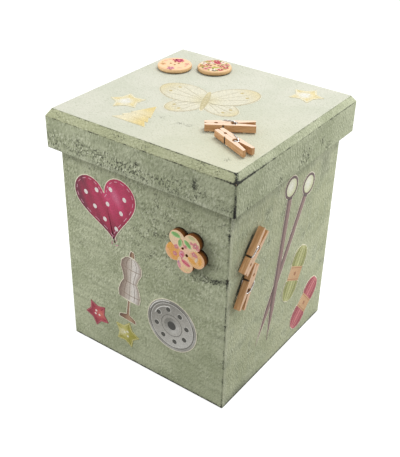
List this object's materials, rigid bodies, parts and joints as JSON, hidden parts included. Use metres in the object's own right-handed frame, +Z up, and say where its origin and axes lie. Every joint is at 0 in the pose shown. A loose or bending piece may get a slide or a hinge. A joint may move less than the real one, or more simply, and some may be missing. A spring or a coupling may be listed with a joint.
{
  "type": "decorative box with lift-off lid",
  "caption": "Square upright wooden craft box with a lift-off bevelled lid, sponged sage-green paint, and glued-on buttons, mini clothes pegs and paper cut-outs.",
  "frame": {"origin": "middle of the box's underside", "axes": "+Z up, the wall with the flower button faces -Y, the wall with the pegs faces +X"},
  "size_m": [0.12, 0.12, 0.155],
  "materials": {
    "painted_walls": "sponged matt paint, sage green, worn at the edges",
    "painted_lid": "sponged matt paint, pale sage",
    "bare_wood": "bare sanded wood",
    "peg_wood": "bare birch, waxed",
    "spring_wire": "bright spring wire",
    "glue": "clear set glue",
    "round_button_left": "printed and lacquered wood",
    "round_button_right": "printed and lacquered wood",
    "flower_button": "printed and lacquered wood, burnt edges",
    "cream_paper": "printed paper under varnish",
    "gold_paper": "printed paper under varnish",
    "raspberry_paper": "printed paper under varnish",
    "beige_paper": "printed paper under varnish",
    "silver_paper": "printed paper under varnish",
    "green_paper": "printed paper under varnish",
    "mauve_paper": "printed paper under varnish"
  },
  "bodies": {
    "box": {"base_panel": "bare_wood", "front_wall": "painted_walls", "back_wall": "painted_walls", "left_wall": "painted_walls", "right_wall": "painted_walls", "flower_button": "flower_button", "wall_upper_peg_glued_leg": "peg_wood", "wall_upper_peg_spring": "spring_wire", "wall_lower_peg_glued_leg": "peg_wood", "wall_lower_peg_spring": "spring_wire", "wall_peg_glue": "glue", "front_heart_print": "raspberry_paper", "front_dress_form_print": "beige_paper", "front_bobbin_print": "silver_paper", "front_red_star_print": "raspberry_paper", "front_green_star_print": "green_paper", "right_needles_print": "mauve_paper", "right_green_skein_print": "green_paper", "right_red_skein_print": "raspberry_paper"},
    "lid": {"lid_panel": "painted_lid", "lid_front_rail": "painted_walls", "lid_back_rail": "painted_walls", "lid_left_rail": "painted_walls", "lid_right_rail": "painted_walls", "left_round_button": "round_button_left", "right_round_button": "round_button_right", "lid_back_peg_glued_leg": "peg_wood", "lid_back_peg_spring": "spring_wire", "lid_front_peg_glued_leg": "peg_wood", "lid_front_peg_spring": "spring_wire", "lid_peg_glue": "glue", "lid_butterfly_print": "cream_paper", "lid_left_star_print": "gold_paper", "lid_right_star_print": "gold_paper", "lid_tree_print": "gold_paper"},
    "lid_back_peg_arm": {"lid_back_peg_moving_leg": "peg_wood"},
    "lid_front_peg_arm": {"lid_front_peg_moving_leg": "peg_wood"},
    "wall_upper_peg_arm": {"wall_upper_peg_moving_leg": "peg_wood"},
    "wall_lower_peg_arm": {"wall_lower_peg_moving_leg": "peg_wood"}
  },
  "joints": [
    {"name": "lid_lift", "type": "slide", "parent": "box", "child": "lid", "axis": [0, 0, 1], "range_m": [0, 0.16]},
    {"name": "lid_back_peg_pinch", "type": "hinge", "parent": "lid", "child": "lid_back_peg_arm", "pos_m": [0.03232, -0.02091, 0.15252], "axis": [0, 0, -1], "range_deg": [0, 15], "stiffness_Nm_per_rad": 0.03, "springref_deg": -22.92, "deforming": ["lid_back_peg_spring"]},
    {"name": "lid_front_peg_pinch", "type": "hinge", "parent": "lid", "child": "lid_front_peg_arm", "pos_m": [0.04362, -0.03644, 0.15252], "axis": [0, 0, 1], "range_deg": [0, 15], "stiffness_Nm_per_rad": 0.03, "springref_deg": -22.92, "deforming": ["lid_front_peg_spring"]},
    {"name": "wall_upper_peg_pinch", "type": "hinge", "parent": "box", "child": "wall_upper_peg_arm", "pos_m": [0.05752, -0.03522, 0.09825], "axis": [-1, 0, 0], "range_deg": [0, 15], "stiffness_Nm_per_rad": 0.03, "springref_deg": -22.92, "deforming": ["wall_upper_peg_spring"]},
    {"name": "wall_lower_peg_pinch", "type": "hinge", "parent": "box", "child": "wall_lower_peg_arm", "pos_m": [0.05752, -0.04195, 0.07553], "axis": [-1, 0, 0], "range_deg": [0, 15], "stiffness_Nm_per_rad": 0.03, "springref_deg": -22.92, "deforming": ["wall_lower_peg_spring"]}
  ]
}
